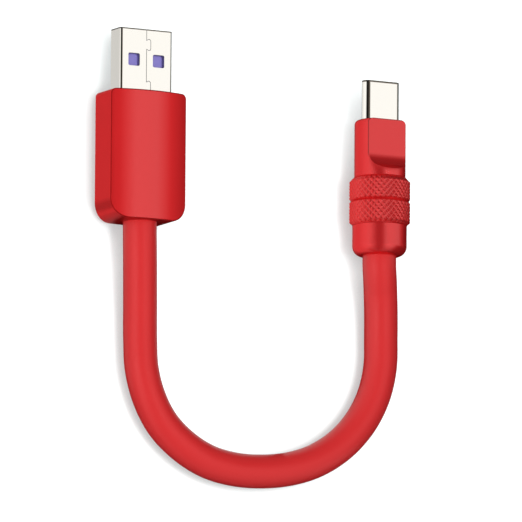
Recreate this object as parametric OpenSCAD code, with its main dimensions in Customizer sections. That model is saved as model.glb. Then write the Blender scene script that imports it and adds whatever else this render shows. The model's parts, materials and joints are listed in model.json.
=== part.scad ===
// Short charging cable: a USB-A plug and a USB-C plug on one thick cord that lies in a U.
// X runs from plug to plug, Y is the way both plugs point, and the table is at Z = 0.

/* [Layout] */
// Distance between the axes of the two plugs
plug_spacing = 54.7; // [50:0.1:60]
// How far the tail sleeve ends behind the USB-A housing's rear face
plug_stagger = 2.8; // [0:0.1:5]

/* [USB-A shell] */
// Width of the steel shell
a_shell_w = 12; // [11.8:0.05:12.2]
// Height of the steel shell
a_shell_h = 4.5; // [4.4:0.05:4.6]
// Sheet thickness of the shell
a_shell_wall = 0.3; // [0.2:0.05:0.35]
// Outer corner radius of the folded sheet
a_shell_corner_r = 0.6; // [0.4:0.05:0.8]
// Length that stands out of the housing
a_shell_reach = 12.9; // [12:0.1:14]
// Length that the housing holds
a_shell_grip = 6.1; // [4:0.1:8]
// Side of each square window
a_window = 2.6; // [2:0.1:2.8]
// Corner radius of the windows
a_window_r = 0.35; // [0.1:0.05:0.6]
// Distance of a window's centre from the plug's middle
a_window_x = 2.8; // [2.4:0.1:3.6]
// Distance of a window's centre from the tip
a_window_y = 6.4; // [5:0.1:7.5]
// Gap of the seam where the sheet's edges meet
seam_gap = 0.1; // [0.05:0.01:0.15]
// How far the dovetail tabs reach across the seam
tab_reach = 0.95; // [0.6:0.05:1.3]
// Width of a dovetail tab at its head
tab_head = 2.2; // [1.6:0.1:2.8]
// Width of a dovetail tab at its neck
tab_neck = 1.7; // [1:0.1:2]
// Corner radius of a dovetail tab's head
tab_head_r = 0.35; // [0.1:0.05:0.5]
// Distance of the first tab from the tip
tab_first = 3.2; // [2.5:0.1:4]
// Distance from tab to tab
tab_pitch = 8.6; // [6:0.1:9]

/* [USB-A contacts] */
// Thickness of the insulator's tongue
tongue_t = 1.9; // [1.7:0.05:2]
// Gap between the tongue's edges and the shell
tongue_side_gap = 0.2; // [0.15:0.05:0.3]
// How far the tongue's end lies inside the mouth
tongue_setback = 0.6; // [0.3:0.1:1.2]
// Depth of the plug's mouth
a_mouth_depth = 11.75; // [11:0.05:12]
// Depth of the latch pockets under the windows
pocket_depth = 0.5; // [0.2:0.1:0.8]
// Width of a contact
a_contact_w = 1; // [0.8:0.05:1.2]
// Thickness of a contact
a_contact_t = 0.2; // [0.15:0.01:0.25]
// How far a contact stands out of the tongue
a_contact_proud = 0.05; // [0.02:0.01:0.1]
// Distance of the outer contacts from the middle
outer_contact_x = 3.5; // [3.3:0.1:3.8]
// Distance of the inner contacts from the middle
inner_contact_x = 1; // [0.8:0.1:1.4]
// Distance of the outer contacts' ends from the tip
outer_contact_setback = 1.9; // [1.4:0.1:2.4]
// How much further back the inner contacts end
inner_contact_lag = 1; // [0.5:0.1:1.5]
// Length of the solder tails behind the insulator
a_tail_l = 3; // [2:0.1:4]

/* [USB-A housing] */
// Width of the housing
housing_w = 17.2; // [16:0.1:19]
// Height of the housing's flat sides
housing_side_h = 7.2; // [7.2:0.1:8.4]
// How far each broad face is crowned
housing_crown = 1.6; // [0.5:0.1:2]
// Length of the housing
housing_l = 26.5; // [26:0.1:32]
// Radius of the two front corners
housing_front_r = 1.5; // [0.4:0.1:2]
// Radius of the two rear corners
housing_rear_r = 3.8; // [1.5:0.1:4.6]
// Thickness of the side walls
housing_side_wall = 1.6; // [1:0.1:2]
// Least thickness of the broad walls
housing_face_wall = 0.5; // [0.4:0.05:0.6]
// Thickness of the front wall round the shell
housing_front_wall = 1.2; // [0.8:0.1:1.6]
// Length of cord that the housing's rear end grips
a_cord_grip = 5; // [3:0.1:6]
// Thickness of the inner mould's rear wall
mould_rear_wall = 1.4; // [1:0.1:2]

/* [USB-C shell] */
// Width of the drawn steel shell
c_shell_w = 8.25; // [8.15:0.05:8.35]
// Height of the drawn steel shell
c_shell_h = 2.4; // [2.35:0.05:2.5]
// Wall of the drawn steel shell
c_shell_wall = 0.2; // [0.15:0.01:0.22]
// Length that stands out of the head
c_shell_reach = 8.1; // [6.7:0.1:8.5]
// Length that the head holds
c_shell_grip = 4.6; // [3.5:0.1:5]

/* [USB-C contacts] */
// How far the insulator's face lies inside the tip
c_face_setback = 0.6; // [0.4:0.1:0.8]
// Thickness of the insulator beside the mouth
c_mouth_side = 0.475; // [0.4:0.005:0.5]
// Thickness of the insulator above and below the mouth
c_mouth_lip = 0.35; // [0.3:0.01:0.4]
// Depth of the mouth behind the insulator's face
c_mouth_depth = 6.65; // [6.2:0.05:6.8]
// Length of the insulator
c_insulator_l = 10.4; // [10:0.1:11]
// Distance from contact to contact
c_pin_pitch = 0.5; // [0.48:0.01:0.52]
// Width of a contact
c_pin_w = 0.25; // [0.2:0.01:0.28]
// Thickness of a contact
c_pin_t = 0.15; // [0.1:0.01:0.16]
// How far a contact's bump bends into the mouth
c_pin_bump = 0.12; // [0.05:0.01:0.15]
// Length of the contacts' tails on the board
c_tail_l = 2.1; // [1.5:0.1:2.5]
// Thickness of the latch plate
latch_t = 0.26; // [0.2:0.01:0.3]
// Thickness of the ground springs' sheet
spring_t = 0.12; // [0.1:0.01:0.14]

/* [USB-C board] */
// Width of the circuit board
board_w = 6.4; // [6:0.1:6.4]
// Length of the circuit board
board_l = 6.9; // [6.5:0.1:7.2]
// Thickness of the circuit board
board_t = 0.76; // [0.6:0.02:0.78]
// Length of the resistor
resistor_l = 1; // [0.6:0.1:1.6]
// Width of the resistor
resistor_w = 0.5; // [0.3:0.1:0.8]
// Height of the resistor
resistor_h = 0.35; // [0.2:0.05:0.5]
// Height of the steel can round the board
can_h = 4.4; // [4.35:0.01:4.5]
// Sheet thickness of the can
can_wall = 0.2; // [0.1:0.01:0.2]
// Distance of the solder pads for the thick wires from the middle
power_pad_x = 2.3; // [2.1:0.1:2.4]
// Distance of the solder pads for the thin wires from the middle
data_pad_x = 0.7; // [0.6:0.1:0.8]

/* [USB-C head] */
// Diameter of the head
head_d = 10.5; // [10:0.05:11]
// Thickness of the head across its two flats
head_t = 6.2; // [6:0.1:6.8]
// Length of the head in front of the collars
head_l = 11.8; // [11:0.05:13]
// Length of each milled flat
flat_l = 7.25; // [6.5:0.05:8]
// Radius of the cove at the end of each flat
cove_r = 3.5; // [3:0.1:3.9]
// Radius of the front edge
head_edge_r = 0.9; // [0.5:0.1:1.4]
// Thickness of the front wall round the shell
head_front_wall = 1.25; // [0.8:0.05:1.5]
// Wall under each flat
flat_wall = 0.7; // [0.6:0.05:0.8]
// Diameter of the neck that carries the collars
neck_d = 9.4; // [9.2:0.05:9.8]
// Bore of the neck
neck_bore = 8.4; // [8.35:0.01:8.5]

/* [Knurled collars] */
// Diameter over the knurl
collar_d = 12.5; // [11.8:0.1:13]
// Length of one collar
collar_l = 5; // [4:0.1:7]
// Chamfer at the front of the front collar
collar_front_chamfer = 1; // [0.5:0.05:1.2]
// Chamfers that form the groove between the collars
groove_chamfer = 0.4; // [0.25:0.05:0.6]
// Chamfer at the rear of the rear collar
collar_rear_chamfer = 0.7; // [0.3:0.05:1]
// Width of the plain rims at a collar's two ends
rim_w = 0.15; // [0.1:0.01:0.18]
// Diamonds round a collar
knurl_count = 34; // [24:2:48]
// Depth of the knurl
knurl_depth = 0.25; // [0.1:0.01:0.35]
// Distance from one row of points to the next
knurl_row = 0.64; // [0.4:0.02:0.8]

/* [Tail sleeve] */
// Diameter of the sleeve
sleeve_d = 11.15; // [10.6:0.05:11.6]
// Length of the sleeve behind the collars
sleeve_l = 6.3; // [6:0.1:9]
// Radius of the sleeve's rear edge
sleeve_edge_r = 2; // [1:0.1:2]
// Thickness of the sleeve's end wall
sleeve_end_wall = 3; // [2:0.1:4]
// Length of the crimp ring on the cord
crimp_l = 6; // [4:0.1:7]
// Length of cord inside the sleeve and the neck
c_cord_grip = 12; // [11:0.1:12.5]

/* [Cord] */
// Outer diameter of the jacket
cord_d = 6.9; // [6.7:0.05:6.9]
// Bore of the jacket
cord_bore = 4.6; // [4.5:0.05:5]
// Diameter of the power and ground wires
power_wire_d = 1.5; // [1.2:0.05:1.5]
// Diameter of the data wires
data_wire_d = 0.9; // [0.7:0.05:0.9]

/* [Fits] */
// Gap on each side between pieces that slide together
slip = 0.05; // [0.02:0.01:0.06]
// Gap between pieces that are soldered face to face
solder = 0.02; // [0.01:0.01:0.03]

/* [Hidden] */
$fn = 64;
EPS = 0.01;
OVERCUT = 1;

// Lengths along the USB-A plug, from the housing's rear face
a_tip = housing_l + a_shell_reach;
a_shell_rear = housing_l - a_shell_grip;
a_mouth_end = a_tip - a_mouth_depth;
housing_t = housing_side_h + 2 * housing_crown;
a_inner_w = a_shell_w - 2 * a_shell_wall;
a_inner_h = a_shell_h - 2 * a_shell_wall;
// The tongue lies against the shell's seamed face and its contacts are on the far side
tongue_top = a_inner_h / 2 - slip;
tongue_face = tongue_top - tongue_t;
a_contact_low = tongue_face - a_contact_proud;
a_contact_top = a_contact_low + a_contact_t;
cavity_w = housing_w - 2 * housing_side_wall;
cavity_h = housing_side_h - 2 * housing_face_wall;
mould_rear = a_cord_grip + slip;

// Lengths along the USB-C plug, from the tail sleeve's rear end
BOARD_GAP = 0.2;
c_shoulder = sleeve_l + 2 * collar_l;
head_front = c_shoulder + head_l;
c_tip = head_front + c_shell_reach;
c_shell_rear = head_front - c_shell_grip;
c_inner_w = c_shell_w - 2 * c_shell_wall;
c_inner_h = c_shell_h - 2 * c_shell_wall;
c_mouth_w = c_inner_w - 2 * c_mouth_side;
c_mouth_h = c_inner_h - 2 * c_mouth_lip;
c_face = c_tip - c_face_setback;
c_mouth_end = c_face - c_mouth_depth;
c_insulator_rear = c_face - c_insulator_l;
board_front = c_insulator_rear - BOARD_GAP;
board_rear = board_front - board_l;
board_top = board_t / 2;
pin_low = board_top + solder;
pin_top = pin_low + c_pin_t;
flat_z = head_t / 2;
flat_end = head_front - flat_l;
// Where the cove comes out of the head's round surface
cove_run = sqrt(pow(cove_r, 2) - pow(cove_r - (head_d / 2 - flat_z), 2));
neck_rear = sleeve_end_wall + slip;
// Contacts fitted on each side of the board, counted as on the standard plug
PINS_PER_ROW = 12;
UPPER_PINS = [1, 4, 5, 6, 7, 9, 12];
LOWER_PINS = [1, 4, 9, 12];
// Length of the bump near a contact's end, and how far that end lies behind the insulator's face
BUMP_L = 1.4;
PIN_END = 1.1;
// The latch plate: a cross bar and two arms that end in hooks
LATCH_BAR = 1.2;
LATCH_FRONT_SETBACK = 1.5;
LATCH_REAR_SETBACK = 0.5;
HOOK_L = 0.8;
HOOK_REACH = 0.3;
latch_arm_in = c_mouth_w / 2 + slip;
latch_arm_out = c_mouth_w / 2 + HOOK_REACH;
latch_hook_in = c_mouth_w / 2 - HOOK_REACH;
latch_rear = c_insulator_rear + LATCH_REAR_SETBACK;
latch_front = c_face - LATCH_FRONT_SETBACK;
// The ground springs lie in shallow seats, with prongs that reach through into the mouth
SPRING_W = 5.6;
SPRING_L = 2.6;
SPRING_SETBACK = 4.3;
PRONG_X = 2;
PRONG_W = 0.6;
PRONG_L = 1;
PRONG_INSET = 0.7;
spring_y = c_face - SPRING_SETBACK;
spring_low = c_inner_h / 2 - slip - solder - spring_t;
// Distance of the resistor from the contacts' tails
RESISTOR_GAP = 0.5;

// Where each plug's axis lies, with the two plugs' common box centred on the origin
x_a = -(plug_spacing + collar_d / 2 - housing_w / 2) / 2;
x_c = x_a + plug_spacing;
y_a = -(max(a_tip, c_tip - plug_stagger) - plug_stagger) / 2;
y_c = y_a - plug_stagger;
z_a = housing_t / 2;
z_c = collar_d / 2;

// The cord's middle line: straight out of each plug, with the points between chosen by hand
STRAIGHT_OUT = 2;
LYING = [
    [-25.8, -26.4, 4.7], [-25.3, -34.1, 3.9], [-25, -42.3, 3.5], [-24.8, -48, 3.5], [-23.2, -53.8, 3.5],
    [-20.1, -59.1, 3.5], [-15.3, -63.2, 3.5], [-9.4, -66, 3.5], [-3.3, -67.2, 3.5], [2.9, -67.2, 3.5],
    [9.2, -66.1, 3.5], [15.3, -64, 3.5], [21.1, -60.3, 3.5], [25.7, -55.4, 3.5], [28.8, -49.7, 3.5],
    [30.3, -43.6, 3.5], [30.4, -37.4, 3.6], [30.1, -31.9, 4.1], [29.6, -28.4, 4.8], [29, -25.9, 5.7]
];
cord_route = concat(
    [[x_a, y_a + a_cord_grip, z_a], [x_a, y_a, z_a], [x_a, y_a - STRAIGHT_OUT, z_a]],
    LYING,
    [[x_c, y_c - STRAIGHT_OUT, z_c], [x_c, y_c, z_c], [x_c, y_c + c_cord_grip, z_c]]
);
CORD_SIDES = 12;
WIRE_SIDES = 8;
// Where each wire lies in the jacket's bore, across and up
POWER_SPOT = [-1.25, -0.2];
DATA_MINUS_SPOT = [-0.5, 0.95];
DATA_PLUS_SPOT = [0.5, 0.95];
GROUND_SPOT = [1.25, -0.2];
// Straight lead of the wires in front of the jacket's two ends, and their lap on tail and pad
A_LEAD = 3.5;
C_LEAD = 1;
WIRE_LAP = 2.2;
// How far behind the board each wire comes level with its pad
WIRE_LEVEL = 0.4;
// Sides of the wide circles that crown the housing
CROWN_SIDES = 720;

RED = [0.84, 0.15, 0.16];
CORD_RED = [0.82, 0.13, 0.14];
STEEL = [0.86, 0.85, 0.82];
VIOLET = [0.43, 0.36, 0.72];
GOLD = [0.83, 0.68, 0.33];
BLACK = [0.12, 0.12, 0.13];
MOULD_WHITE = [0.9, 0.89, 0.85];
BOARD_GREEN = [0.1, 0.35, 0.2];
COPPER_ALLOY = [0.72, 0.5, 0.32];

// ---- Outlines -------------------------------------------------------------

module rounded_rect(w, h, r) {
    square([w - 2 * r, h], center = true);
    square([w, h - 2 * r], center = true);
    for (x = [-1, 1], y = [-1, 1])
        translate([x * (w / 2 - r), y * (h / 2 - r)]) circle(r);
}

module stadium(w, h) {
    square([w - h, h], center = true);
    for (x = [-1, 1])
        translate([x * (w - h) / 2, 0]) circle(h / 2);
}

// ---- Solids from outlines -------------------------------------------------

// An outline in X and Z, drawn out along Y
module along(y0, y1) {
    translate([0, y1, 0]) rotate([90, 0, 0]) linear_extrude(y1 - y0) children();
}

// An outline in Y and Z, drawn out along X
module across(x0, x1) {
    translate([x0, 0, 0]) rotate([90, 0, 90]) linear_extrude(x1 - x0) children();
}

// An outline of radius and Y, turned about the plug's axis
module turned() {
    rotate([-90, 0, 0]) rotate_extrude() children();
}

// A box from its lowest to its highest corner
module box(low, high) {
    translate(low) cube(high - low);
}

// A box that is centred on the plug's middle plane
module middle_box(w, y, z) {
    box([-w / 2, y[0], z[0]], [w / 2, y[1], z[1]]);
}

module at_a() {
    translate([x_a, y_a, z_a]) children();
}

module at_c() {
    translate([x_c, y_c, z_c]) children();
}

// ---- Swept tubes ----------------------------------------------------------

function unit(v) = v / norm(v);
function tangent(path, i) = unit(path[min(i + 1, len(path) - 1)] - path[max(i - 1, 0)]);
function across_of(path, i) = unit(cross(tangent(path, i), [0, 0, 1]));
function up_of(path, i) = cross(across_of(path, i), tangent(path, i));

// A point of a path, moved across and up in its own plane
function spot_at(path, i, spot) = path[i] + spot[0] * across_of(path, i) + spot[1] * up_of(path, i);

function rings(path, r, sides) = [
    for (i = [0 : len(path) - 1], k = [0 : sides - 1])
        spot_at(path, i, r * [cos(360 * k / sides), sin(360 * k / sides)])
];

// The skin between two neighbouring rings, as triangles; "from" is the first point's number
function skin(count, sides, from, outward) = [
    for (i = [0 : count - 2], k = [0 : sides - 1], half = [0, 1])
        let (
            a = from + i * sides + k,
            b = from + i * sides + (k + 1) % sides,
            c = b + sides,
            d = a + sides,
            face = half == 0 ? [a, b, c] : [a, c, d]
        )
        outward ? [face[2], face[1], face[0]] : face
];

module solid_tube(path, r, sides) {
    count = len(path);
    last = (count - 1) * sides;
    polyhedron(
        points = rings(path, r, sides),
        faces = concat(
            skin(count, sides, 0, false),
            [[for (k = [sides - 1 : -1 : 0]) k]],
            [[for (k = [0 : sides - 1]) last + k]]
        )
    );
}

module hollow_tube(path, r, bore_r, sides) {
    count = len(path);
    inner = count * sides;
    last = (count - 1) * sides;
    polyhedron(
        points = concat(rings(path, r, sides), rings(path, bore_r, sides)),
        faces = concat(
            skin(count, sides, 0, false),
            skin(count, sides, inner, true),
            [for (k = [0 : sides - 1]) let (n = (k + 1) % sides) [k, inner + k, inner + n]],
            [for (k = [0 : sides - 1]) let (n = (k + 1) % sides) [k, inner + n, n]],
            [for (k = [0 : sides - 1]) let (n = (k + 1) % sides) [last + k, last + inner + n, last + inner + k]],
            [for (k = [0 : sides - 1]) let (n = (k + 1) % sides) [last + k, last + n, last + inner + n]]
        )
    );
}

// ---- USB-A plug -----------------------------------------------------------

// The dovetail tab of the shell's left edge, enlarged by a gap
module tab_outline(gap) {
    bend = tab_reach - tab_head_r;
    straight = tab_head - 2 * tab_head_r;
    polygon([
        [-OVERCUT, -tab_neck / 2 - gap], [0, -tab_neck / 2 - gap],
        [bend, -tab_head / 2 - gap], [bend, tab_head / 2 + gap],
        [0, tab_neck / 2 + gap], [-OVERCUT, tab_neck / 2 + gap]
    ]);
    translate([0, -straight / 2]) square([tab_reach + gap, straight]);
    for (side = [-1, 1])
        translate([bend, side * straight / 2]) circle(tab_head_r + gap);
}

// The seam's gap, seen from above, with the tip at Y = a_tip
module seam_outline() {
    tabs = [for (y = a_tip - tab_first; y > a_shell_rear + tab_head; y = y - tab_pitch) y];
    difference() {
        union() {
            translate([0, a_shell_rear - OVERCUT]) square([seam_gap, a_tip - a_shell_rear + 2 * OVERCUT]);
            for (y = tabs)
                translate([0, y]) intersection() {
                    tab_outline(seam_gap);
                    translate([0, -tab_head]) square([2 * tab_reach, 2 * tab_head]);
                }
        }
        for (y = tabs)
            translate([0, y]) tab_outline(0);
    }
}

module window_outline(grow) {
    for (x = [-1, 1])
        translate([x * a_window_x, a_tip - a_window_y])
            rounded_rect(a_window + 2 * grow, a_window + 2 * grow, a_window_r + grow);
}

module usb_a_shell() {
    color(STEEL) at_a() difference() {
        along(a_shell_rear, a_tip) difference() {
            rounded_rect(a_shell_w, a_shell_h, a_shell_corner_r);
            rounded_rect(a_inner_w, a_inner_h, a_shell_corner_r - a_shell_wall);
        }
        linear_extrude(a_shell_h) seam_outline();
        translate([0, 0, -a_shell_h]) linear_extrude(2 * a_shell_h) window_outline(0);
    }
}

module contact_slot(x) {
    translate([x, 0, 0])
        middle_box(
            a_contact_w + 2 * slip,
            [a_shell_rear - OVERCUT, a_tip - outer_contact_setback + slip],
            [a_contact_low - slip, a_contact_top + slip]
        );
}

module usb_a_insulator() {
    tongue_w = a_inner_w - 2 * tongue_side_gap;
    color(VIOLET) at_a() difference() {
        union() {
            middle_box(tongue_w, [a_mouth_end - EPS, a_tip - tongue_setback], [tongue_face, tongue_top]);
            along(a_shell_rear, a_mouth_end)
                rounded_rect(a_inner_w - 2 * slip, 2 * tongue_top, a_shell_corner_r - a_shell_wall);
        }
        for (x = [-outer_contact_x, -inner_contact_x, inner_contact_x, outer_contact_x])
            contact_slot(x);
        translate([0, 0, tongue_top - pocket_depth]) linear_extrude(a_shell_h) window_outline(2 * slip);
    }
}

module a_contact(x, setback) {
    color(GOLD) at_a() translate([x, 0, 0])
        middle_box(
            a_contact_w,
            [a_shell_rear - a_tail_l, a_tip - setback],
            [a_contact_low, a_contact_top]
        );
}

module usb_a_contact_power() {
    a_contact(outer_contact_x, outer_contact_setback);
}

module usb_a_contact_data_minus() {
    a_contact(inner_contact_x, outer_contact_setback + inner_contact_lag);
}

module usb_a_contact_data_plus() {
    a_contact(-inner_contact_x, outer_contact_setback + inner_contact_lag);
}

module usb_a_contact_ground() {
    a_contact(-outer_contact_x, outer_contact_setback);
}

// The block that grips the shell's rear end and closes the chamber where the wires fan out
module usb_a_inner_mould() {
    front = housing_l - housing_front_wall - slip;
    color(MOULD_WHITE) at_a() difference() {
        middle_box(
            cavity_w - 2 * slip,
            [mould_rear, front],
            [slip - cavity_h / 2, cavity_h / 2 - slip]
        );
        along(a_shell_rear - slip, front + OVERCUT)
            rounded_rect(a_shell_w + 2 * slip, a_shell_h + 2 * slip, a_shell_corner_r + slip);
        middle_box(
            a_inner_w,
            [mould_rear + mould_rear_wall, a_shell_rear],
            [-a_inner_h / 2, a_inner_h / 2]
        );
        along(mould_rear - OVERCUT, a_shell_rear) circle(d = cord_bore);
    }
}

// The crowned section: a strip bounded by two shallow arcs
module housing_section() {
    arc_r = (pow(housing_w / 2, 2) + pow(housing_crown, 2)) / (2 * housing_crown);
    intersection() {
        square([housing_w, housing_t], center = true);
        translate([0, housing_t / 2 - arc_r]) circle(arc_r, $fn = CROWN_SIDES);
        translate([0, arc_r - housing_t / 2]) circle(arc_r, $fn = CROWN_SIDES);
    }
}

// The plan: small radii in front and large ones at the rear
module housing_plan() {
    half = housing_w / 2;
    translate([-half, housing_rear_r]) square([housing_w, housing_l - housing_rear_r - housing_front_r]);
    translate([housing_rear_r - half, 0]) square([housing_w - 2 * housing_rear_r, housing_l - housing_front_r]);
    translate([housing_front_r - half, housing_rear_r])
        square([housing_w - 2 * housing_front_r, housing_l - housing_rear_r]);
    for (side = [-1, 1]) {
        translate([side * (half - housing_rear_r), housing_rear_r]) circle(housing_rear_r);
        translate([side * (half - housing_front_r), housing_l - housing_front_r]) circle(housing_front_r);
    }
}

module usb_a_housing() {
    color(RED) at_a() difference() {
        intersection() {
            along(0, housing_l) housing_section();
            translate([0, 0, -housing_t]) linear_extrude(2 * housing_t) housing_plan();
        }
        middle_box(cavity_w, [a_cord_grip, housing_l - housing_front_wall], [-cavity_h / 2, cavity_h / 2]);
        along(a_cord_grip, housing_l + OVERCUT)
            rounded_rect(a_shell_w + 2 * slip, a_shell_h + 2 * slip, a_shell_corner_r + slip);
        along(-OVERCUT, a_cord_grip + OVERCUT) circle(cord_d / 2 + slip);
    }
}

// ---- Cord -----------------------------------------------------------------

module cord_jacket() {
    color(CORD_RED) hollow_tube(cord_route, cord_d / 2, cord_bore / 2, CORD_SIDES);
}

// A wire: over the USB-A contact's tail, through the jacket's bore, onto the USB-C board
module wire(spot, d, contact_x, pad_x) {
    tail_z = z_a + a_contact_top + solder + d / 2;
    pad_z = z_c + board_top + solder + d / 2;
    tail_y = y_a + a_shell_rear - a_tail_l;
    pad_y = y_c + board_rear;
    last = len(cord_route) - 1;
    path = concat(
        [[x_a + contact_x, tail_y + WIRE_LAP, tail_z], [x_a + contact_x, tail_y, tail_z]],
        [spot_at(cord_route, 0, spot) + [0, A_LEAD, 0]],
        [for (i = [0 : last]) spot_at(cord_route, i, spot)],
        [spot_at(cord_route, last, spot) + [0, C_LEAD, 0]],
        [[x_c + pad_x, pad_y - WIRE_LEVEL, pad_z], [x_c + pad_x, pad_y + WIRE_LAP, pad_z]]
    );
    solid_tube(path, d / 2, WIRE_SIDES);
}

module power_wire() {
    color("red") wire(POWER_SPOT, power_wire_d, outer_contact_x, -power_pad_x);
}

module data_minus_wire() {
    color("white") wire(DATA_MINUS_SPOT, data_wire_d, inner_contact_x, -data_pad_x);
}

module data_plus_wire() {
    color("green") wire(DATA_PLUS_SPOT, data_wire_d, -inner_contact_x, data_pad_x);
}

module ground_wire() {
    color(BLACK) wire(GROUND_SPOT, power_wire_d, -outer_contact_x, power_pad_x);
}

// ---- USB-C plug -----------------------------------------------------------

module usb_c_shell() {
    color(STEEL) at_c() along(c_shell_rear, c_tip) difference() {
        stadium(c_shell_w, c_shell_h);
        stadium(c_inner_w, c_inner_h);
    }
}

module usb_c_latch_plate() {
    color(COPPER_ALLOY) at_c() translate([0, 0, -latch_t / 2]) linear_extrude(latch_t)
        polygon([
            [-latch_arm_out, latch_rear], [latch_arm_out, latch_rear], [latch_arm_out, latch_front],
            [latch_arm_in, latch_front], [latch_hook_in, latch_front - HOOK_L / 2],
            [latch_arm_in, latch_front - HOOK_L], [latch_arm_in, latch_rear + LATCH_BAR],
            [-latch_arm_in, latch_rear + LATCH_BAR], [-latch_arm_in, latch_front - HOOK_L],
            [-latch_hook_in, latch_front - HOOK_L / 2], [-latch_arm_in, latch_front],
            [-latch_arm_out, latch_front]
        ]);
}

module spring_seat() {
    prong_y = spring_y + PRONG_INSET;
    middle_box(
        SPRING_W + 2 * slip,
        [spring_y - slip, spring_y + SPRING_L + slip],
        [spring_low - solder, c_shell_h]
    );
    for (side = [-1, 1])
        translate([side * PRONG_X, 0, 0])
            middle_box(PRONG_W + 2 * slip, [prong_y - slip, prong_y + PRONG_L + slip], [0, c_shell_h]);
}

module ground_spring() {
    prong_y = spring_y + PRONG_INSET;
    middle_box(SPRING_W, [spring_y, spring_y + SPRING_L], [spring_low, spring_low + spring_t]);
    for (side = [-1, 1])
        translate([side * PRONG_X, 0, 0])
            middle_box(PRONG_W, [prong_y, prong_y + PRONG_L], [pin_top, spring_low + EPS]);
}

module usb_c_ground_spring_upper() {
    color(STEEL) at_c() ground_spring();
}

module usb_c_ground_spring_lower() {
    color(STEEL) at_c() mirror([0, 0, 1]) ground_spring();
}

function pin_x(pin) = (pin - (PINS_PER_ROW + 1) / 2) * c_pin_pitch;

module pin_slots(pins) {
    for (pin = pins)
        translate([pin_x(pin), 0, 0])
            middle_box(
                c_pin_w + 2 * slip,
                [c_insulator_rear - OVERCUT, c_mouth_end + EPS],
                [pin_low - slip, pin_top + slip]
            );
}

module usb_c_insulator() {
    color(BLACK) at_c() difference() {
        along(c_insulator_rear, c_face) stadium(c_inner_w - 2 * slip, c_inner_h - 2 * slip);
        middle_box(c_mouth_w, [c_mouth_end, c_face + OVERCUT], [-c_mouth_h / 2, c_mouth_h / 2]);
        middle_box(
            c_shell_w,
            [latch_rear - slip, latch_front + slip],
            [-latch_t / 2 - slip, latch_t / 2 + slip]
        );
        pin_slots(UPPER_PINS);
        mirror([0, 0, 1]) pin_slots(LOWER_PINS);
        spring_seat();
        mirror([0, 0, 1]) spring_seat();
    }
}

// One row of contacts: straight strips with a bump near the mouth
module pin_row(pins) {
    bump_y = c_face - PIN_END - BUMP_L;
    for (pin = pins)
        across(pin_x(pin) - c_pin_w / 2, pin_x(pin) + c_pin_w / 2)
            polygon([
                [c_insulator_rear - c_tail_l, pin_low], [bump_y, pin_low],
                [bump_y + BUMP_L / 2, pin_low - c_pin_bump], [bump_y + BUMP_L, pin_low],
                [bump_y + BUMP_L, pin_top], [bump_y + BUMP_L / 2, pin_top - c_pin_bump],
                [bump_y, pin_top], [c_insulator_rear - c_tail_l, pin_top]
            ]);
}

module usb_c_contacts_upper() {
    color(GOLD) at_c() pin_row(UPPER_PINS);
}

module usb_c_contacts_lower() {
    color(GOLD) at_c() mirror([0, 0, 1]) pin_row(LOWER_PINS);
}

module usb_c_circuit_board() {
    color(BOARD_GREEN) at_c() middle_box(board_w, [board_rear, board_front], [-board_top, board_top]);
}

module pull_up_resistor() {
    front = c_insulator_rear - c_tail_l - RESISTOR_GAP;
    color(BLACK) at_c()
        middle_box(
            resistor_l,
            [front - resistor_w, front],
            [board_top + solder, board_top + solder + resistor_h]
        );
}

// The steel can that shields the board, open at both ends
module usb_c_rear_cover() {
    inner_w = board_w + 2 * slip;
    color(STEEL) at_c() along(board_rear - BOARD_GAP, c_shell_rear - slip) difference() {
        square([inner_w + 2 * can_wall, can_h], center = true);
        square([inner_w, can_h - 2 * can_wall], center = true);
    }
}

// One milled flat: level to flat_end, then rising in a cove
module milled_flat() {
    across(-head_d, head_d) {
        translate([flat_end, flat_z]) square([flat_l + OVERCUT, head_d]);
        intersection() {
            translate([flat_end, flat_z + cove_r]) circle(cove_r);
            translate([flat_end - cove_r, flat_z]) square([cove_r + EPS, cove_r]);
        }
    }
}

// The room for the board and its can, under the flats
module head_room() {
    intersection() {
        along(flat_end - cove_run - slip, head_front - head_front_wall) circle(d = neck_bore);
        middle_box(
            2 * neck_bore,
            [0, head_front],
            [flat_wall - flat_z, flat_z - flat_wall]
        );
    }
}

module usb_c_head() {
    r = head_d / 2;
    color(RED) at_c() difference() {
        turned() {
            translate([0, c_shoulder]) square([r, head_l - head_edge_r]);
            translate([0, c_shoulder]) square([r - head_edge_r, head_l]);
            translate([r - head_edge_r, head_front - head_edge_r]) circle(head_edge_r);
            translate([0, neck_rear]) square([neck_d / 2, c_shoulder + head_edge_r - neck_rear]);
        }
        milled_flat();
        mirror([0, 0, 1]) milled_flat();
        along(neck_rear - OVERCUT, flat_end - cove_run) circle(d = neck_bore);
        head_room();
        along(c_shell_rear - slip, head_front + OVERCUT)
            stadium(c_shell_w + 2 * slip, c_shell_h + 2 * slip);
    }
}

// A collar from its rings: each is [place, radius on even columns, radius on odd columns]
module knurled_body(ring_list) {
    columns = 2 * knurl_count;
    count = len(ring_list);
    points = [
        for (ring = ring_list, k = [0 : columns - 1])
            let (r = ring[1 + k % 2], angle = 360 * k / columns)
            [r * cos(angle), r * sin(angle), ring[0]]
    ];
    // Each cell is split from valley to valley, so every point of the knurl is a pyramid
    faces = [
        for (i = [0 : count - 2], k = [0 : columns - 1], half = [0, 1])
            let (
                a = i * columns + k,
                b = i * columns + (k + 1) % columns,
                c = b + columns,
                d = a + columns
            )
            (i + k) % 2 == 0
                ? (half == 0 ? [a, d, b] : [b, d, c])
                : (half == 0 ? [a, c, b] : [a, d, c])
    ];
    polyhedron(
        points = points,
        faces = concat(
            faces,
            [[for (k = [0 : columns - 1]) k]],
            [[for (k = [columns - 1 : -1 : 0]) (count - 1) * columns + k]]
        )
    );
}

// Radius of a collar's plain outline at a place along it
function outline_r(place, rear_chamfer, front_chamfer) =
    collar_d / 2 - max(0, rear_chamfer - place, place - (collar_l - front_chamfer));

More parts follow.
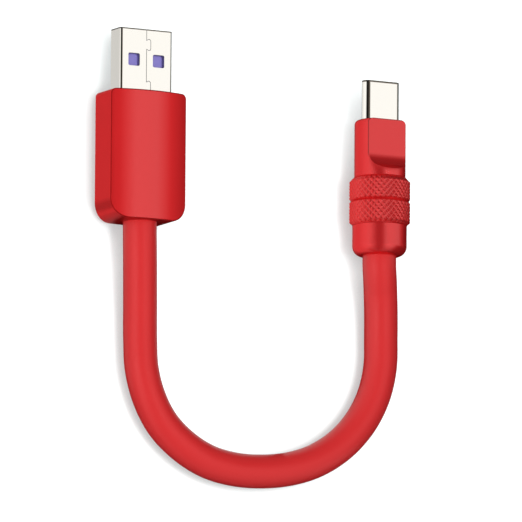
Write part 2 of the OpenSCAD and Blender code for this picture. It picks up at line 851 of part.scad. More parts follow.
// Even steps of about one row, without the last place
function row_places(from, to) =
    let (count = max(1, round((to - from) / knurl_row)))
    [for (i = [0 : count - 1]) from + i * (to - from) / count];

// Rear end at 0: a plain rim, the knurl over chamfer, barrel and chamfer, a plain rim
module knurled_collar(rear_chamfer, front_chamfer) {
    places = concat(
        row_places(rim_w, rear_chamfer),
        row_places(rear_chamfer, collar_l - front_chamfer),
        row_places(collar_l - front_chamfer, collar_l - rim_w),
        [collar_l - rim_w]
    );
    last = len(places) - 1;
    rear_r = outline_r(0, rear_chamfer, front_chamfer);
    front_r = outline_r(collar_l, rear_chamfer, front_chamfer);
    ring_list = concat(
        [[0, rear_r, rear_r]],
        [
            for (i = [0 : last])
                let (
                    peak = outline_r(places[i], rear_chamfer, front_chamfer),
                    low = i == 0 || i == last ? peak : peak - knurl_depth
                )
                [places[i], i % 2 == 1 ? peak : low, i % 2 == 1 ? low : peak]
        ],
        [[collar_l, front_r, front_r]]
    );
    rotate([-90, 0, 0]) difference() {
        knurled_body(ring_list);
        translate([0, 0, -OVERCUT]) cylinder(h = collar_l + 2 * OVERCUT, d = neck_d + 2 * slip);
    }
}

module knurled_collar_rear() {
    color(RED) at_c() translate([0, sleeve_l, 0]) knurled_collar(collar_rear_chamfer, groove_chamfer);
}

module knurled_collar_front() {
    color(RED) at_c() translate([0, sleeve_l + collar_l, 0]) knurled_collar(groove_chamfer, collar_front_chamfer);
}

module tail_sleeve() {
    r = sleeve_d / 2;
    color(RED) at_c() difference() {
        turned() {
            translate([0, sleeve_edge_r]) square([r, sleeve_l - sleeve_edge_r]);
            square([r - sleeve_edge_r, sleeve_l]);
            translate([r - sleeve_edge_r, sleeve_edge_r]) circle(sleeve_edge_r);
        }
        along(-OVERCUT, sleeve_l + OVERCUT) circle(cord_d / 2 + slip);
        along(sleeve_end_wall, sleeve_l + OVERCUT) circle(neck_d / 2 + slip);
    }
}

module cord_crimp_ring() {
    color(COPPER_ALLOY) at_c() along(neck_rear + 2 * slip, neck_rear + 2 * slip + crimp_l) difference() {
        circle(neck_bore / 2 - slip);
        circle(cord_d / 2 + slip);
    }
}

usb_a_shell();
usb_a_insulator();
usb_a_contact_power();
usb_a_contact_data_minus();
usb_a_contact_data_plus();
usb_a_contact_ground();
usb_a_inner_mould();
usb_a_housing();
cord_jacket();
power_wire();
data_minus_wire();
data_plus_wire();
ground_wire();
usb_c_shell();
usb_c_insulator();
usb_c_contacts_upper();
usb_c_contacts_lower();
usb_c_latch_plate();
usb_c_ground_spring_upper();
usb_c_ground_spring_lower();
usb_c_circuit_board();
pull_up_resistor();
usb_c_rear_cover();
usb_c_head();
knurled_collar_front();
knurled_collar_rear();
tail_sleeve();
cord_crimp_ring();
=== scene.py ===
"""Looks of a short red charging cable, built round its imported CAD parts."""

import json
import math

import bmesh
import bpy
import numpy as np
from mathutils import Matrix, Vector


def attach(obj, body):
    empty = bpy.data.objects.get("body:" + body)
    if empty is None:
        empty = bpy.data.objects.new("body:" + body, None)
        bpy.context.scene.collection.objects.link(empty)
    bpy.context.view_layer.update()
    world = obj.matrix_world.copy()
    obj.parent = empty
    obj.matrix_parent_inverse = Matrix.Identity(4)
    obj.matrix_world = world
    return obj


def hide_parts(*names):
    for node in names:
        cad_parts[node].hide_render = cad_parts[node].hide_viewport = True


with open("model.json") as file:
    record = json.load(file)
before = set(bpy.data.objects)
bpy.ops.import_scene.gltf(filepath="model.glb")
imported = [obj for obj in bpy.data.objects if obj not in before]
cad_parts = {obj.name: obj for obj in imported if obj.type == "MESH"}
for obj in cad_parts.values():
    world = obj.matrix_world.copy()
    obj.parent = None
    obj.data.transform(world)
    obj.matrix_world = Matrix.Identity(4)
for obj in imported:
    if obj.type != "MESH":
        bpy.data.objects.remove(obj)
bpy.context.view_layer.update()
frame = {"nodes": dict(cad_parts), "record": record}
NODES = frame["nodes"]
MM = 0.001

# Where the plugs' axes lie at the rear ends of the housing and of the tail sleeve, and the main sizes, in
# millimetres as in the part's source
X_A, Y_A, Z_A = -26.175, -18.3, 5.2
X_C, Y_C, Z_C = 28.525, -21.1, 6.25
TIP_A, TIP_C = 21.1, 15.1
CORD_D, CORD_BORE_R = 6.9, 3.5
HOUSING_L = 26.5
SLEEVE_L, COLLAR_L = 6.3, 5.0
# The USB-C head, from the sleeve's rear end and from its axis: its neck's seat, front end, and flats
NECK_SEAT_R = 4.75
HEAD_FRONT = 28.1
FLAT_Z, FLAT_END = 3.1, 20.85


# ---- Camera ----------------------------------------------------------------

def make_camera():
    """A long lens from the upper left, its right and down axes given in the part's frame."""
    right = Vector((0.883, 0.007, 0.469)).normalized()
    ahead = right.cross(Vector((0.0816, -0.9878, -0.1327))).normalized()
    down = ahead.cross(right)
    target = Vector((4.45, -23.1, 0.0)) * MM
    distance = 3.0
    pixels_per_mm, pixels_across = 4.9, 522
    data = bpy.data.cameras.new("camera")
    data.sensor_width = 36.0
    data.lens = pixels_per_mm * distance / MM / pixels_across * data.sensor_width
    data.clip_start, data.clip_end = 0.05, 20.0
    camera = bpy.data.objects.new("camera", data)
    bpy.context.scene.collection.objects.link(camera)
    rows = Matrix((right, -down, -ahead)).transposed()
    camera.matrix_world = Matrix.Translation(target - ahead * distance) @ rows.to_4x4()
    bpy.context.scene.camera = camera


make_camera()


# ---- Node helpers ----------------------------------------------------------

class Graph:
    """Short calls for building a node tree."""

    def __init__(self, tree):
        self.tree = tree

    def add(self, kind, inputs=None, **settings):
        node = self.tree.nodes.new(kind)
        for key, value in settings.items():
            setattr(node, key, value)
        for key, value in (inputs or {}).items():
            self.feed(node.inputs[key], value)
        return node

    def feed(self, socket, value):
        if isinstance(value, bpy.types.NodeSocket):
            self.tree.links.new(value, socket)
        else:
            socket.default_value = value

    def math(self, operation, *values):
        node = self.add("ShaderNodeMath", operation=operation)
        for i, value in enumerate(values):
            self.feed(node.inputs[i], value)
        return node.outputs[0]

    def product(self, first, *others):
        result = first
        for value in others:
            result = self.math("MULTIPLY", result, value)
        return result

    def vector(self, operation, *values):
        node = self.add("ShaderNodeVectorMath", operation=operation)
        for i, value in enumerate(values):
            self.feed(node.inputs[i], value)
        return node.outputs[0]

    def scaled(self, vector, scale):
        return self.add("ShaderNodeVectorMath", {0: vector, "Scale": scale}, operation="SCALE").outputs[0]

    def split(self, vector):
        """The three parts of a vector."""
        return self.add("ShaderNodeSeparateXYZ", {"Vector": vector}).outputs

    def normal(self):
        """The three parts of the surface's normal."""
        return self.split(self.add("ShaderNodeNewGeometry").outputs["Normal"])

    def place(self):
        """The three Object coordinates, in millimetres."""
        return self.split(self.scaled(self.add("ShaderNodeTexCoord").outputs["Object"], 1.0 / MM))

    def attribute(self, name):
        return self.add("ShaderNodeAttribute", attribute_name=name).outputs["Fac"]

    def open_sky(self, distance):
        """How much of the surroundings is free of other surfaces within a distance in millimetres."""
        return self.add("ShaderNodeAmbientOcclusion", {"Distance": distance * MM}, samples=8).outputs["AO"]

    def remap(self, value, low, high, to_low=0.0, to_high=1.0, smooth=False):
        node = self.add(
            "ShaderNodeMapRange",
            {"Value": value, "From Min": low, "From Max": high, "To Min": to_low, "To Max": to_high},
            interpolation_type="SMOOTHSTEP" if smooth else "LINEAR",
        )
        return node.outputs["Result"]

    def ramp(self, value, low, high, stops):
        """A soft run of levels from low to high, its stops given as (place, level)."""
        node = self.add("ShaderNodeValToRGB", {"Fac": self.remap(value, low, high)})
        elements = node.color_ramp.elements
        node.color_ramp.interpolation = "EASE"
        elements.remove(elements[1])
        for i, (place, level) in enumerate(stops):
            part = (place - low) / (high - low)
            element = elements[0] if i == 0 else elements.new(part)
            element.position = part
            element.color = (level, level, level, 1.0)
        return node.outputs["Color"]

    # A Mix node keeps sockets for all its kinds under the same names, so they are fed by their numbers
    def mix_value(self, factor, a, b):
        return self.add("ShaderNodeMix", {"Factor": factor, 2: a, 3: b}, data_type="FLOAT").outputs[0]

    def mix_colour(self, factor, a, b):
        return self.add("ShaderNodeMix", {"Factor": factor, 6: a, 7: b}, data_type="RGBA").outputs[2]

    def mix_shader(self, factor, a, b):
        return self.add("ShaderNodeMixShader", {0: factor, 1: a, 2: b}).outputs[0]

    def glow(self, colour, strength):
        return self.add("ShaderNodeEmission", {"Color": colour, "Strength": strength}).outputs[0]


def group(name, inputs, outputs):
    """A shader node group with named sockets; returns it, its graph, and its input and output nodes."""
    tree = bpy.data.node_groups.new(name, "ShaderNodeTree")
    for label, kind, default in inputs:
        socket = tree.interface.new_socket(name=label, in_out="INPUT", socket_type=kind)
        socket.default_value = default
    for label, kind in outputs:
        tree.interface.new_socket(name=label, in_out="OUTPUT", socket_type=kind)
    graph = Graph(tree)
    return tree, graph, graph.add("NodeGroupInput"), graph.add("NodeGroupOutput")


SURFACE_SOCKETS = [
    ("Colour", "NodeSocketColor"),
    ("Roughness", "NodeSocketFloat"),
    ("Height", "NodeSocketFloat"),
]


def make_grain_group():
    """Fine blasted grain with a slow drift of tone, read from Object coordinates."""
    tree, g, given, out = group(
        "fine_grain",
        [
            ("Grain Size", "NodeSocketFloat", 0.12),
            ("Patch Size", "NodeSocketFloat", 6.0),
            ("Colour", "NodeSocketColor", (0.8, 0.8, 0.8, 1.0)),
            ("Tone Drift", "NodeSocketFloat", 0.04),
            ("Roughness", "NodeSocketFloat", 0.4),
            ("Roughness Drift", "NodeSocketFloat", 0.05),
        ],
        SURFACE_SOCKETS,
    )
    place = g.add("ShaderNodeTexCoord").outputs["Object"]
    fine = g.add(
        "ShaderNodeTexNoise",
        {
            "Vector": place,
            "Scale": g.math("DIVIDE", 1.0 / MM, given.outputs["Grain Size"]),
            "Detail": 2.0,
            "Roughness": 0.6,
        },
    )
    wide = g.add(
        "ShaderNodeTexNoise",
        {
            "Vector": place,
            "Scale": g.math("DIVIDE", 1.0 / MM, given.outputs["Patch Size"]),
            "Detail": 3.0,
            "Roughness": 0.5,
        },
    )
    drift = g.math("SUBTRACT", wide.outputs[0], 0.5)
    bright = g.math("MULTIPLY_ADD", drift, given.outputs["Tone Drift"], 1.0)
    speck = g.math("SUBTRACT", fine.outputs[0], 0.5)
    tone = g.math("MULTIPLY_ADD", speck, g.product(given.outputs["Tone Drift"], 0.5), bright)
    rough = g.math("MULTIPLY_ADD", drift, given.outputs["Roughness Drift"], given.outputs["Roughness"])
    rough = g.math("MULTIPLY_ADD", speck, given.outputs["Roughness Drift"], rough)
    g.feed(out.inputs["Colour"], g.scaled(given.outputs["Colour"], tone))
    g.feed(out.inputs["Roughness"], rough)
    g.feed(out.inputs["Height"], fine.outputs[0])
    return tree


def make_drawn_group():
    """Drawing lines along Y, as rolled or drawn metal has them."""
    tree, g, given, out = group(
        "drawn_lines",
        [
            ("Line Width", "NodeSocketFloat", 0.05),
            ("Line Length", "NodeSocketFloat", 4.0),
            ("Colour", "NodeSocketColor", (0.8, 0.8, 0.8, 1.0)),
            ("Tone Drift", "NodeSocketFloat", 0.04),
            ("Roughness", "NodeSocketFloat", 0.2),
            ("Roughness Drift", "NodeSocketFloat", 0.05),
        ],
        SURFACE_SOCKETS,
    )
    place = g.add("ShaderNodeTexCoord").outputs["Object"]
    across = g.math("DIVIDE", 1.0 / MM, given.outputs["Line Width"])
    along = g.math("DIVIDE", 1.0 / MM, given.outputs["Line Length"])
    scale = g.add("ShaderNodeCombineXYZ", {"X": across, "Y": along, "Z": across})
    stretched = g.vector("MULTIPLY", place, scale.outputs[0])
    lines = g.add("ShaderNodeTexNoise", {"Vector": stretched, "Scale": 1.0, "Detail": 3.0, "Roughness": 0.6})
    offset = g.math("SUBTRACT", lines.outputs[0], 0.5)
    tone = g.math("MULTIPLY_ADD", offset, given.outputs["Tone Drift"], 1.0)
    rough = g.math("MULTIPLY_ADD", offset, given.outputs["Roughness Drift"], given.outputs["Roughness"])
    g.feed(out.inputs["Colour"], g.scaled(given.outputs["Colour"], tone))
    g.feed(out.inputs["Roughness"], rough)
    g.feed(out.inputs["Height"], lines.outputs[0])
    return tree


GRAIN = make_grain_group()
DRAWN = make_drawn_group()


def colour_of(red, green, blue):
    """An sRGB colour of 0 to 255 as the linear colour a shader takes."""
    def linear(c):
        c /= 255.0
        return c / 12.92 if c <= 0.04045 else ((c + 0.055) / 1.055) ** 2.4
    return (linear(red), linear(green), linear(blue), 1.0)


ROUGHNESS_DRIFT = 0.08


def principled_of(material):
    return material.node_tree.nodes["Principled BSDF"]


def make_material(name, tree, settings, bump, bump_distance, shader):
    """A Principled material whose colour, roughness and bump come from a shared group."""
    material = bpy.data.materials.new(name)
    material.use_nodes = True
    g = Graph(material.node_tree)
    principled = principled_of(material)
    surface = g.add("ShaderNodeGroup", node_tree=tree)
    for key, value in settings.items():
        surface.inputs[key].default_value = value
    relief = g.add(
        "ShaderNodeBump",
        {"Strength": bump, "Distance": bump_distance * MM, "Height": surface.outputs["Height"]},
    )
    g.feed(principled.inputs["Base Color"], surface.outputs["Colour"])
    g.feed(principled.inputs["Roughness"], surface.outputs["Roughness"])
    g.feed(principled.inputs["Normal"], relief.outputs[0])
    for key, value in shader.items():
        principled.inputs[key].default_value = value
    return material


def grain_material(name, colour, roughness, grain=0.12, drift=0.04, bump=0.15, **shader):
    """A blasted or moulded finish."""
    settings = {
        "Grain Size": grain,
        "Colour": colour,
        "Tone Drift": drift,
        "Roughness": roughness,
        "Roughness Drift": ROUGHNESS_DRIFT,
    }
    return make_material(name, GRAIN, settings, bump, 0.01, shader)


def drawn_material(name, colour, roughness, bump=0.1):
    """A drawn metal finish."""
    settings = {
        "Line Width": 0.05,
        "Colour": colour,
        "Tone Drift": 0.05,
        "Roughness": roughness,
        "Roughness Drift": ROUGHNESS_DRIFT,
    }
    return make_material(name, DRAWN, settings, bump, 0.005, {"Metallic": 1.0})


def tint(material, mask, colour):
    """Turns a material's base colour into another as far as a mask says."""
    g = Graph(material.node_tree)
    base = principled_of(material).inputs["Base Color"]
    g.feed(base, g.mix_colour(mask, base.links[0].from_socket, colour))


# ---- Red metal -------------------------------------------------------------

RED = colour_of(221, 40, 43)
# Painted shade: a dark red for lines and patches where shade or a dark reflection falls
PAINTED_SHADE_RED = colour_of(112, 4, 4)
PAINTED_GLINT_RED = colour_of(240, 100, 96)
FULL_COAT = 0.24
RED_SHADER = {
    "Metallic": 0.62,
    "Specular Tint": (1.0, 0.4, 0.4, 1.0),
    "Specular IOR Level": 0.1,
    "Coat Roughness": 0.2,
    "Coat IOR": 2.5,
}


def red_metal(name, coat, low, high):
    """Satin red metal under a thin clear coat, which grows to its full weight as the face turns up or down
    from low to high, and thins out where it turns to the right: the coat's weight by the face's direction
    places a painted sheen. It takes painted shade along the lines that a mesh marks."""
    material = grain_material(name, RED, 0.36, grain=0.08, drift=0.05, bump=0.12, **RED_SHADER)
    g = Graph(material.node_tree)
    sideways, _, upright = g.normal()
    # Painted sheen: the coat's weight set by the face's direction
    facing_up = g.remap(g.math("ABSOLUTE", upright), low, high, coat, FULL_COAT)
    off_right = g.remap(sideways, 0.28, 0.44, 1.0, 0.1)
    g.feed(principled_of(material).inputs["Coat Weight"], g.product(facing_up, off_right))
    # Painted shade along the lines that the mesh marks
    tint(material, g.attribute("painted_edge_shade"), PAINTED_SHADE_RED)
    return material


# How much painted shade the housing's side takes round its rear corners, by millimetres from its rear end
REAR_CORNER_PAINTED_SHADE = (
    (-0.5, 0.5), (0.1, 0.5), (0.7, 0.25), (1.4, 0.0), (2.3, 0.42), (2.9, 0.42), (4.4, 0.0), (30.0, 0.0),
)


def crown_metal():
    """The housing's red metal: less metallic, its clear coat thick only along the middle of the crown as a
    painted highlight band, and painted shade on its side round the rear corners."""
    material = red_metal("red_crown", coat=0.01, low=0.8, high=0.9)
    principled = principled_of(material)
    principled.inputs["Metallic"].default_value = 0.5
    g = Graph(material.node_tree)
    sideways, _, upright = g.normal()
    # The coat's band, a painted highlight, lies a little to the left of the middle
    from_middle = g.math("ABSOLUTE", g.math("ADD", sideways, 0.05))
    in_band = g.remap(from_middle, 0.1, 0.24, 1.0, 0.05)
    coat = principled.inputs["Coat Weight"]
    g.feed(coat, g.product(coat.links[0].from_socket, in_band))
    from_rear = g.math("SUBTRACT", g.place()[1], Y_A)
    corner_shade = g.ramp(from_rear, -0.5, 30.0, REAR_CORNER_PAINTED_SHADE)
    on_side = g.remap(g.math("ABSOLUTE", upright), 0.2, 0.5, 1.0, 0.0)
    # Painted shade on the side round the rear corners
    tint(material, g.product(corner_shade, on_side), PAINTED_SHADE_RED)
    return material


RED_METAL = red_metal("red_metal", coat=0.06, low=0.2, high=0.9)
RED_CROWN = crown_metal()


def head_metal():
    """The red metal of the USB-C head, with painted shade as a dark line round each milled flat and along its
    front edge.
    """
    material = RED_METAL.copy()
    material.name = "red_head"
    g = Graph(material.node_tree)
    _, forward, upright = g.normal()
    _, y, z = g.place()
    level = g.math("ABSOLUTE", g.math("SUBTRACT", z, Z_C))
    above_side = g.remap(level, FLAT_Z - 0.26, FLAT_Z - 0.16)
    below_flat = g.remap(level, FLAT_Z, FLAT_Z + 0.04, 1.0, 0.0)
    off_flat = g.remap(g.math("ABSOLUTE", upright), 0.9, 0.98, 1.0, 0.0)
    past_cove = g.remap(y, Y_C + FLAT_END - 1.05, Y_C + FLAT_END - 0.05)
    beside_flat = g.product(above_side, below_flat, off_flat, past_cove)
    before_front = g.remap(y, Y_C + HEAD_FRONT - 0.24, Y_C + HEAD_FRONT - 0.12)
    off_front = g.remap(forward, 0.94, 0.99, 1.0, 0.0)
    depth = 0.7
    # Painted shade along the flats' edges and the front edge
    line = g.math("MAXIMUM", beside_flat, before_front)
    tint(material, g.product(line, depth, off_front), PAINTED_SHADE_RED)
    return material


def knurl_material():
    """The red metal with a painted highlight along each cut of the knurl."""
    material = RED_METAL.copy()
    material.name = "red_knurl"
    g = Graph(material.node_tree)
    brightness = 0.35
    tint(material, g.product(g.attribute("knurl_line"), brightness), PAINTED_GLINT_RED)
    return material


RED_HEAD = head_metal()
RED_KNURL = knurl_material()


# ---- Steel, plastic and the rest -------------------------------------------

PLATED_STEEL, STEEL_SHADE = (0.95, 0.93, 0.88, 1.0), (0.13, 0.11, 0.09, 1.0)
VIOLET_SHADE = (0.01, 0.005, 0.03, 1.0)


def shell_steel(name, tip, rim):
    """Bright plated steel, with a painted dark reflection along the bends beside the broad faces and painted
    shade along a rim behind the tip.
    """
    material = drawn_material(name, PLATED_STEEL, 0.12, bump=0.03)
    g = Graph(material.node_tree)
    sideways, _, upright = g.normal()
    upright = g.math("ABSOLUTE", upright)
    # The painted dark reflection is a wide band near the broad face on the left bend, and a thin line on the
    # right one
    left = g.product(g.remap(upright, 0.74, 0.8), g.remap(upright, 0.9985, 0.9998, 1.0, 0.0))
    right = g.product(g.remap(upright, 0.35, 0.45), g.remap(upright, 0.92, 0.96, 1.0, 0.0))
    bend = g.mix_value(g.remap(sideways, -0.01, 0.01), left, right)
    at_tip = g.remap(g.place()[1], tip - rim, tip - rim + 0.1)
    tint(material, g.math("MAXIMUM", bend, at_tip), STEEL_SHADE)
    return material


def violet_plastic():
    """Violet plastic, with painted shade in the corners under the shell's windows."""
    material = grain_material("violet_plastic", colour_of(136, 127, 200), 0.38, grain=0.1)
    g = Graph(material.node_tree)
    in_corner = g.remap(g.open_sky(0.5), 0.45, 0.95, 0.75, 0.0)
    tint(material, in_corner, VIOLET_SHADE)
    return material


CORD_SHADER = {"Specular IOR Level": 0.4}
CORD_RED = grain_material(
    "cord_red", colour_of(202, 39, 41), 0.4, grain=0.2, drift=0.03, bump=0.08, **CORD_SHADER
)
SHELL_STEEL_A = shell_steel("shell_steel", TIP_A, rim=0.3)
SHELL_STEEL_C = shell_steel("shell_steel_c", TIP_C, rim=0.42)
# The cut faces of the sheet: bare metal, painted near-black as shade on the rims and window walls
CUT_EDGE_SHADE = drawn_material("cut_edge_shade", (0.035, 0.033, 0.03, 1.0), 0.5)

BY_SLOT = {
    "shell_steel": SHELL_STEEL_A,
    "red_metal": RED_METAL,
    "cord_rubber": CORD_RED,
    "violet_plastic": violet_plastic(),
    "contact_gold": drawn_material("contact_gold", (0.83, 0.62, 0.25, 1.0), 0.2),
    "white_mould": grain_material("white_mould", (0.78, 0.77, 0.73, 1.0), 0.5, grain=0.15),
    "black_plastic": grain_material("black_plastic", (0.012, 0.012, 0.013, 1.0), 0.45, grain=0.1, drift=0.2),
    "board_laminate": grain_material("board_laminate", (0.01, 0.1, 0.035, 1.0), 0.3, grain=0.3, drift=0.2),
    "spring_steel": drawn_material("spring_steel", (0.7, 0.69, 0.66, 1.0), 0.25),
    "copper_alloy": drawn_material("copper_alloy", (0.72, 0.45, 0.26, 1.0), 0.28),
    "wire_red": grain_material("wire_red", (0.6, 0.01, 0.01, 1.0), 0.4, grain=0.2),
    "wire_white": grain_material("wire_white", (0.8, 0.8, 0.78, 1.0), 0.4, grain=0.2),
    "wire_green": grain_material("wire_green", (0.01, 0.2, 0.03, 1.0), 0.4, grain=0.2),
    "wire_black": grain_material("wire_black", (0.01, 0.01, 0.01, 1.0), 0.4, grain=0.2, drift=0.2),
}
SLOT_OF = {s["node"]: s["material_slot"] for s in frame["record"]["subparts"]}
for node_name, node_object in NODES.items():
    node_object.data.materials.clear()
    node_object.data.materials.append(BY_SLOT[SLOT_OF[node_name]])


# ---- Mesh helpers ----------------------------------------------------------

def apply_modifiers(piece):
    """Makes the shape that a piece's modifiers give its plain mesh."""
    evaluated = piece.evaluated_get(bpy.context.evaluated_depsgraph_get())
    mesh = bpy.data.meshes.new_from_object(evaluated)
    mesh.name = piece.name
    piece.modifiers.clear()
    piece.data = mesh


def settle(piece, sharp_angle):
    """Shades a piece smooth but for its sharp edges, and keeps its flat faces flat."""
    mesh = piece.data
    mesh.polygons.foreach_set("use_smooth", [True] * len(mesh.polygons))
    mesh.set_sharp_from_angle(angle=math.radians(sharp_angle))
    weighted = piece.modifiers.new("weighted", "WEIGHTED_NORMAL")
    weighted.keep_sharp = True
    apply_modifiers(piece)


def break_edges(piece, width, segments, angle, material=-1):
    """Bevels the edges that turn by more than the angle, in the piece's own or in a numbered material."""
    edge = piece.modifiers.new("edge", "BEVEL")
    edge.width = width * MM
    edge.segments = segments
    edge.limit_method = "ANGLE"
    edge.angle_limit = math.radians(angle)
    edge.material = material
    apply_modifiers(piece)


def weld(mesh, gap, flat_angle=None, turn_out=False):
    """Merges points within the gap. If asked, joins faces flat within the angle, or turns all outwards."""
    shape = bmesh.new()
    shape.from_mesh(mesh)
    bmesh.ops.remove_doubles(shape, verts=shape.verts, dist=gap * MM)
    if flat_angle:
        flat = math.radians(flat_angle)
        bmesh.ops.dissolve_limit(shape, angle_limit=flat, verts=shape.verts, edges=shape.edges)
    if turn_out:
        bmesh.ops.recalc_face_normals(shape, faces=shape.faces)
    shape.to_mesh(mesh)
    shape.free()


def mesh_of(name, points, faces):
    """A mesh from points in millimetres."""
    mesh = bpy.data.meshes.new(name)
    mesh.from_pydata([tuple(p) for p in np.asarray(points, float) * MM], [], faces)
    return mesh


def link(name, mesh, material):
    """Puts a mesh in the scene as a piece of one material."""
    piece = bpy.data.objects.new(name, mesh)
    bpy.context.scene.collection.objects.link(piece)
    mesh.materials.clear()
    mesh.materials.append(material)
    return piece


def closed_piece(name, points, faces, material):
    """A piece of one closed mesh from points in millimetres, its faces turned outwards."""
    mesh = mesh_of(name, points, faces)
    weld(mesh, gap=0.001, turn_out=True)
    return link(name, mesh, material)


def finish_piece(piece, slot, *nodes):
    """Says what a piece rides on, and hides the CAD nodes it stands in for. Its slot is not used."""
    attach(piece, "root")
    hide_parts(*nodes)


def lathe_faces(rings, sides, closed):
    """Quads between rings of points; a closed profile joins its last ring to its first."""
    faces = []
    for i in range(rings if closed else rings - 1):
        j = (i + 1) % rings
        for k in range(sides):
            n = (k + 1) % sides
            faces.append((i * sides + k, i * sides + n, j * sides + n, j * sides + k))
    return faces


def turned(name, profile, sides, material, start=0.0, closed=True):
    """A profile of (radius, y) turned about the USB-C plug's axis, y being counted from the start."""
    turn = np.linspace(0, 2 * math.pi, sides, endpoint=False)
    points = [
        (X_C + r * math.cos(t), Y_C + start + y, Z_C + r * math.sin(t))
        for r, y in profile
        for t in turn
    ]
    return closed_piece(name, points, lathe_faces(len(profile), sides, closed), material)


def arc(cx, cy, radius, start, end, steps):
    """Points on an arc, with its angles in degrees."""
    return [
        (cx + radius * math.cos(math.radians(a)), cy + radius * math.sin(math.radians(a)))
        for a in np.linspace(start, end, steps + 1)
    ]


# ---- Cord ------------------------------------------------------------------

LYING = [
    (-25.8, -26.4, 4.7), (-25.3, -34.1, 3.9), (-25.0, -42.3, 3.5), (-24.6, -48.0, 3.5), (-22.9, -53.7, 3.5),
    (-19.8, -58.9, 3.5), (-15.1, -63.0, 3.5), (-9.4, -65.85, 3.5), (-3.3, -67.03, 3.5), (2.9, -67.03, 3.5),
    (9.2, -66.1, 3.5), (15.3, -64.0, 3.5), (21.1, -60.3, 3.5), (25.7, -55.4, 3.5), (28.8, -49.7, 3.5),
    (30.3, -43.6, 3.5), (30.4, -37.4, 3.6), (30.1, -31.9, 4.1), (29.6, -28.4, 4.8), (29.0, -25.9, 5.7),
]
ROUTE = np.array(
    [(X_A, Y_A, Z_A), (X_A, Y_A - 2, Z_A), *LYING, (X_C, Y_C - 2, Z_C), (X_C, Y_C, Z_C)], float
)


def smooth_route(points):
    """An even-spaced curve through the points, by Catmull-Rom spans over the square roots of their chords."""
    step, per_span = 0.5, 40
    first = points[0] - (points[1] - points[0])
    last = points[-1] + (points[-1] - points[-2])
    p = np.vstack([first, points, last])
    samples = []
    for i in range(1, len(p) - 2):
        knots = [0.0]
        for a, b in ((0, 1), (1, 2), (2, 3)):
            knots.append(knots[-1] + math.sqrt(np.linalg.norm(p[i - 1 + b] - p[i - 1 + a])))
        t0, t1, t2, t3 = knots
        for t in np.linspace(t1, t2, per_span, endpoint=False):
            q = p[i - 1:i + 3]
            a1 = ((t1 - t) * q[0] + (t - t0) * q[1]) / (t1 - t0)
            a2 = ((t2 - t) * q[1] + (t - t1) * q[2]) / (t2 - t1)
            a3 = ((t3 - t) * q[2] + (t - t2) * q[3]) / (t3 - t2)
            b1 = ((t2 - t) * a1 + (t - t0) * a2) / (t2 - t0)
            b2 = ((t3 - t) * a2 + (t - t1) * a3) / (t3 - t1)
            samples.append(((t2 - t) * b1 + (t - t1) * b2) / (t2 - t1))
    samples.append(points[-1])
    samples = np.array(samples)
    run = np.concatenate([[0], np.cumsum(np.linalg.norm(np.diff(samples, axis=0), axis=1))])
    count = int(run[-1] / step) + 1
    even = np.linspace(0, run[-1], count)
    return np.column_stack([np.interp(even, run, samples[:, k]) for k in range(3)])


def make_cord():
    """The jacket: a round tube along the route, its ends inside the plugs."""
    free = smooth_route(ROUTE)
    inside_a = np.array([[X_A, Y_A + d, Z_A] for d in (1.5, 0.75)])
    inside_c = np.array([[X_C, Y_C + d, Z_C] for d in (0.75, 1.5)])
    path = np.vstack([inside_a, free, inside_c])
    ahead = np.gradient(path, axis=0)
    ahead /= np.linalg.norm(ahead, axis=1)[:, None]
    across = np.cross(ahead, [0, 0, 1.0])
    across /= np.linalg.norm(across, axis=1)[:, None]
    up = np.cross(across, ahead)
    sides = 56
    points = []
    for centre, u, v in zip(path, across, up):
        for k in range(sides):
            t = 2 * math.pi * k / sides
            points.append(centre + CORD_D / 2 * (math.cos(t) * u + math.sin(t) * v))
    faces = lathe_faces(len(path), sides, False)
    faces.append(tuple(range(sides))[::-1])
    faces.append(tuple(len(points) - sides + k for k in range(sides)))
    jacket = closed_piece("cord_jacket_tube", points, faces, CORD_RED)
    settle(jacket, sharp_angle=60.0)
    finish_piece(jacket, "cord_rubber", "cord_jacket")


make_cord()


# ---- Turned pieces ---------------------------------------------------------

def make_sleeve():
    """The tail sleeve, with its rounded rear edge and the bore that the cord comes out of."""
    outer, edge_r, end_wall, break_l, bore_break = 5.575, 2.0, 3.0, 0.1, 0.05
    profile = [(NECK_SEAT_R, SLEEVE_L), (outer - break_l, SLEEVE_L), (outer, SLEEVE_L - break_l)]
    profile += arc(outer - edge_r, edge_r, edge_r, 0, -90, 20)
    profile += [(CORD_BORE_R + bore_break, 0.0), (CORD_BORE_R, bore_break)]
    profile += [(CORD_BORE_R, end_wall), (NECK_SEAT_R, end_wall)]
    piece = turned("tail_sleeve_dress", profile, 144, RED_METAL)
    settle(piece, sharp_angle=40.0)
    finish_piece(piece, "red_metal", "tail_sleeve")


make_sleeve()


